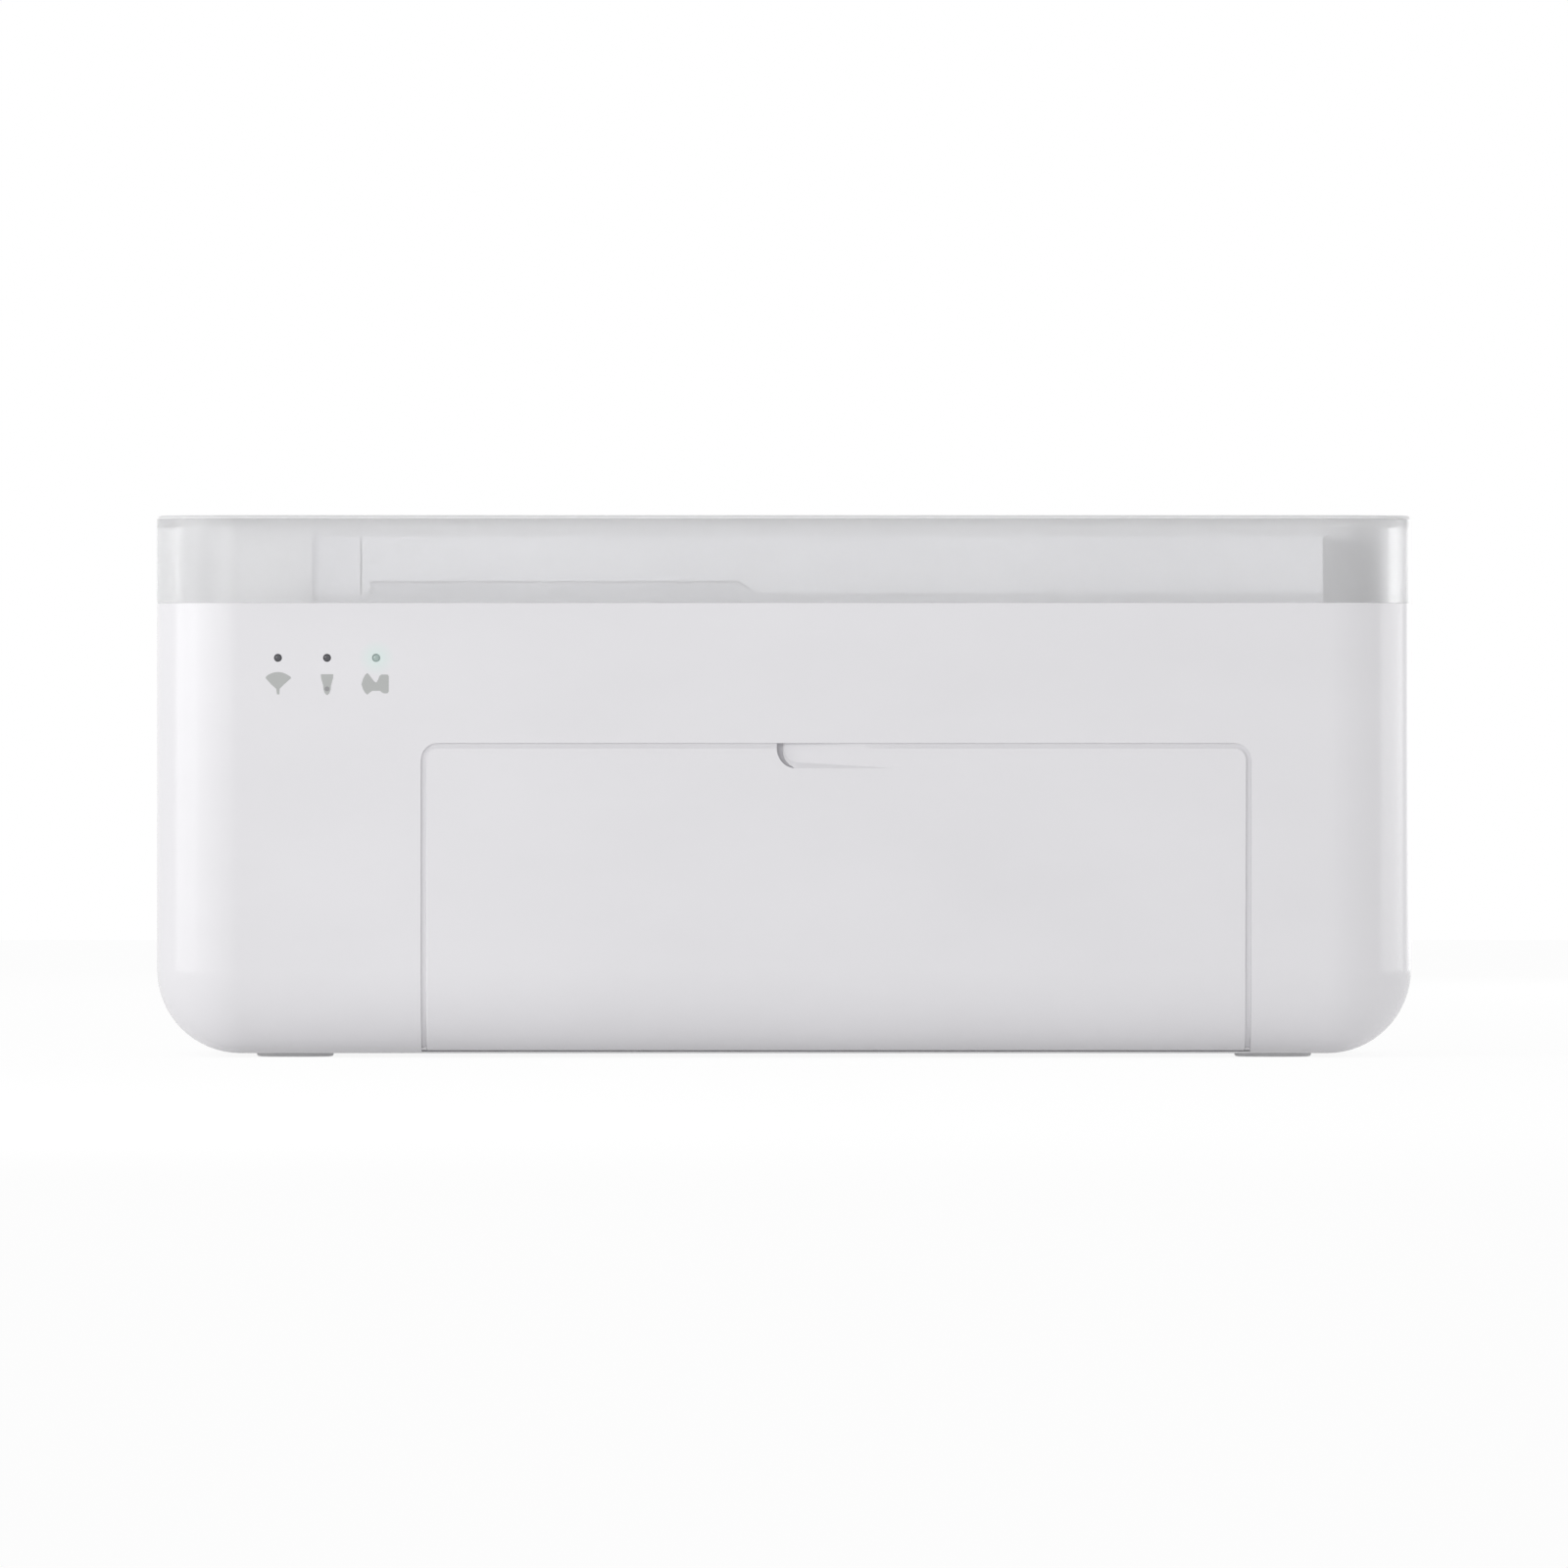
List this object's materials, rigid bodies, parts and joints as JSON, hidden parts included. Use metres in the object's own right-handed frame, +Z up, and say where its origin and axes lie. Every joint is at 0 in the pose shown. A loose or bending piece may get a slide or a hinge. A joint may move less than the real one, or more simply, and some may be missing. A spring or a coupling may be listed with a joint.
{
  "type": "compact photo printer",
  "caption": "Compact dye-sublimation photo printer: rounded tub case, see-through hinged lid over the stored paper cassette, drop-down front flap and ribbon door.",
  "frame": {"origin": "on the surface under the feet, under the middle of the case", "axes": "+X right, +Y to the back, +Z up; the front flap faces -Y"},
  "size_m": [0.1948, 0.118, 0.084],
  "materials": {
    "case_white": "fine satin moulded plastic",
    "lid_frosted": "frosted see-through plastic",
    "deck_grey": "satin moulded plastic",
    "cassette_white": "satin moulded plastic",
    "cassette_grey": "satin moulded plastic",
    "button_grey": "satin moulded plastic",
    "light_pipe": "smoked clear plastic",
    "dark_plastic": "fine matt plastic",
    "nylon_white": "satin nylon",
    "board_green": "solder mask",
    "rubber_dark": "matt rubber",
    "rubber_grey": "matt rubber",
    "rubber_pale": "matt silicone rubber",
    "steel": "bright steel",
    "zinc_sheet": "zinc-plated sheet",
    "aluminium": "extruded aluminium",
    "ceramic": "glazed ceramic",
    "brass": "turned brass",
    "photo_paper": "glossy paper",
    "ribbon": "dye-coated film",
    "ribbon_used": "dye-coated film"
  },
  "bodies": {
    "chassis": {"body_shell": "case_white", "base_plate": "zinc_sheet", "rubber_feet": "rubber_pale", "base_screws": "steel", "top_deck": "deck_grey", "lid_hinge_pins": "steel", "flap_pivot_pins": "steel", "flap_catch": "nylon_white", "ribbon_door_pins": "steel", "ribbon_door_catch": "nylon_white", "button_switch": "dark_plastic", "indicator_light_pipes": "light_pipe", "indicator_board": "board_green", "cassette_tray": "cassette_grey", "cassette_cover": "cassette_white", "paper_lift_plate": "zinc_sheet", "lift_plate_spring": "steel", "photo_paper_stack": "photo_paper", "cassette_rails": "nylon_white", "left_side_frame": "zinc_sheet", "right_side_frame": "zinc_sheet", "tie_bars": "steel", "frame_screws": "steel", "paper_guide": "dark_plastic", "drive_belt": "rubber_dark", "head_pivot_shaft": "steel", "head_springs": "steel", "ribbon_cartridge": "dark_plastic", "ribbon_film": "ribbon", "drive_motor": "zinc_sheet", "motor_bracket": "zinc_sheet", "gear_stud": "steel", "ribbon_motor": "zinc_sheet", "fan_housing": "dark_plastic", "main_board": "board_green", "power_board": "board_green", "dc_inlet": "dark_plastic", "usb_port": "steel", "flat_cable": "nylon_white"},
    "lid": {"top_lid": "lid_frosted"},
    "flap": {"front_flap": "case_white"},
    "side_door": {"ribbon_door": "case_white"},
    "power_key": {"power_button": "button_grey"},
    "platen": {"platen_roller": "rubber_dark"},
    "capstan": {"capstan_roller": "steel", "capstan_gear": "nylon_white"},
    "pinch": {"pinch_roller": "rubber_dark"},
    "eject": {"eject_roller": "rubber_dark"},
    "idlers": {"eject_idlers": "nylon_white"},
    "pickup_swing": {"pickup_arm": "nylon_white"},
    "pickup": {"pickup_roller": "rubber_grey"},
    "print_head": {"thermal_head": "ceramic", "head_heatsink": "aluminium", "head_arms": "zinc_sheet"},
    "supply": {"supply_spool": "ribbon"},
    "takeup": {"takeup_spool": "ribbon_used"},
    "motor_shaft": {"motor_pinion": "brass"},
    "gear_train": {"reduction_gear": "nylon_white"},
    "fan": {"fan_rotor": "dark_plastic"}
  },
  "joints": [
    {"name": "lid_hinge", "type": "hinge", "parent": "chassis", "child": "lid", "pos_m": [0, 0.0563, 0.0733], "axis": [-1, 0, 0], "range_deg": [0, 95]},
    {"name": "flap_hinge", "type": "hinge", "parent": "chassis", "child": "flap", "pos_m": [0.00805, -0.052, 0.0081], "axis": [1, 0, 0], "range_deg": [0, 90]},
    {"name": "ribbon_door_hinge", "type": "hinge", "parent": "chassis", "child": "side_door", "pos_m": [0.0952, 0.005, 0.0401], "axis": [0, 1, 0], "range_deg": [0, 90]},
    {"name": "power_button_press", "type": "slide", "parent": "chassis", "child": "power_key", "axis": [1, 0, 0], "range_m": [0, 0.0008], "stiffness_N_per_m": 600, "springref_m": -0.0005},
    {"name": "capstan_spin", "type": "hinge", "parent": "chassis", "child": "capstan", "pos_m": [0.00805, 0.027, 0.0277], "axis": [1, 0, 0], "continuous": true},
    {"name": "reduction_spin", "type": "hinge", "parent": "chassis", "child": "gear_train", "pos_m": [0.00805, 0.01141, 0.0367], "axis": [1, 0, 0], "continuous": true},
    {"name": "motor_spin", "type": "hinge", "parent": "chassis", "child": "motor_shaft", "pos_m": [0.00805, -0.00832, 0.02952], "axis": [1, 0, 0], "continuous": true},
    {"name": "pinch_spin", "type": "hinge", "parent": "chassis", "child": "pinch", "pos_m": [0.00805, 0.027, 0.035], "axis": [1, 0, 0], "continuous": true},
    {"name": "eject_spin", "type": "hinge", "parent": "chassis", "child": "eject", "pos_m": [0.00805, -0.039, 0.0279], "axis": [1, 0, 0], "continuous": true},
    {"name": "idler_spin", "type": "hinge", "parent": "chassis", "child": "idlers", "pos_m": [0.00805, -0.039, 0.0357], "axis": [1, 0, 0], "continuous": true},
    {"name": "platen_spin", "type": "hinge", "parent": "chassis", "child": "platen", "pos_m": [0.00805, 0.014, 0.026], "axis": [1, 0, 0], "continuous": true},
    {"name": "pickup_swing", "type": "hinge", "parent": "chassis", "child": "pickup_swing", "pos_m": [0.00805, -0.028, 0.0265], "axis": [1, 0, 0], "range_deg": [0, 12]},
    {"name": "pickup_spin", "type": "hinge", "parent": "pickup_swing", "child": "pickup", "pos_m": [0.00805, -0.0143, 0.0196], "axis": [1, 0, 0], "continuous": true},
    {"name": "head_lift", "type": "hinge", "parent": "chassis", "child": "print_head", "pos_m": [0.00805, 0.0515, 0.059], "axis": [-1, 0, 0], "range_deg": [0, 4], "deforming": ["head_springs"]},
    {"name": "supply_spin", "type": "hinge", "parent": "chassis", "child": "supply", "pos_m": [0.00805, 0.038, 0.0465], "axis": [1, 0, 0], "continuous": true},
    {"name": "takeup_spin", "type": "hinge", "parent": "chassis", "child": "takeup", "pos_m": [0.00805, -0.01, 0.0465], "axis": [1, 0, 0], "continuous": true},
    {"name": "fan_spin", "type": "hinge", "parent": "chassis", "child": "fan", "pos_m": [-0.076, 0.0495, 0.024], "axis": [0, 1, 0], "continuous": true}
  ],
  "couplings": [
    {"joint": "reduction_spin", "follows": "capstan_spin", "ratio": -2},
    {"joint": "motor_spin", "follows": "capstan_spin", "ratio": 6.4},
    {"joint": "pinch_spin", "follows": "capstan_spin", "ratio": -1.4483},
    {"joint": "eject_spin", "follows": "capstan_spin", "ratio": 1},
    {"joint": "idler_spin", "follows": "capstan_spin", "ratio": -1.1429},
    {"joint": "platen_spin", "follows": "capstan_spin", "ratio": 0.7}
  ]
}
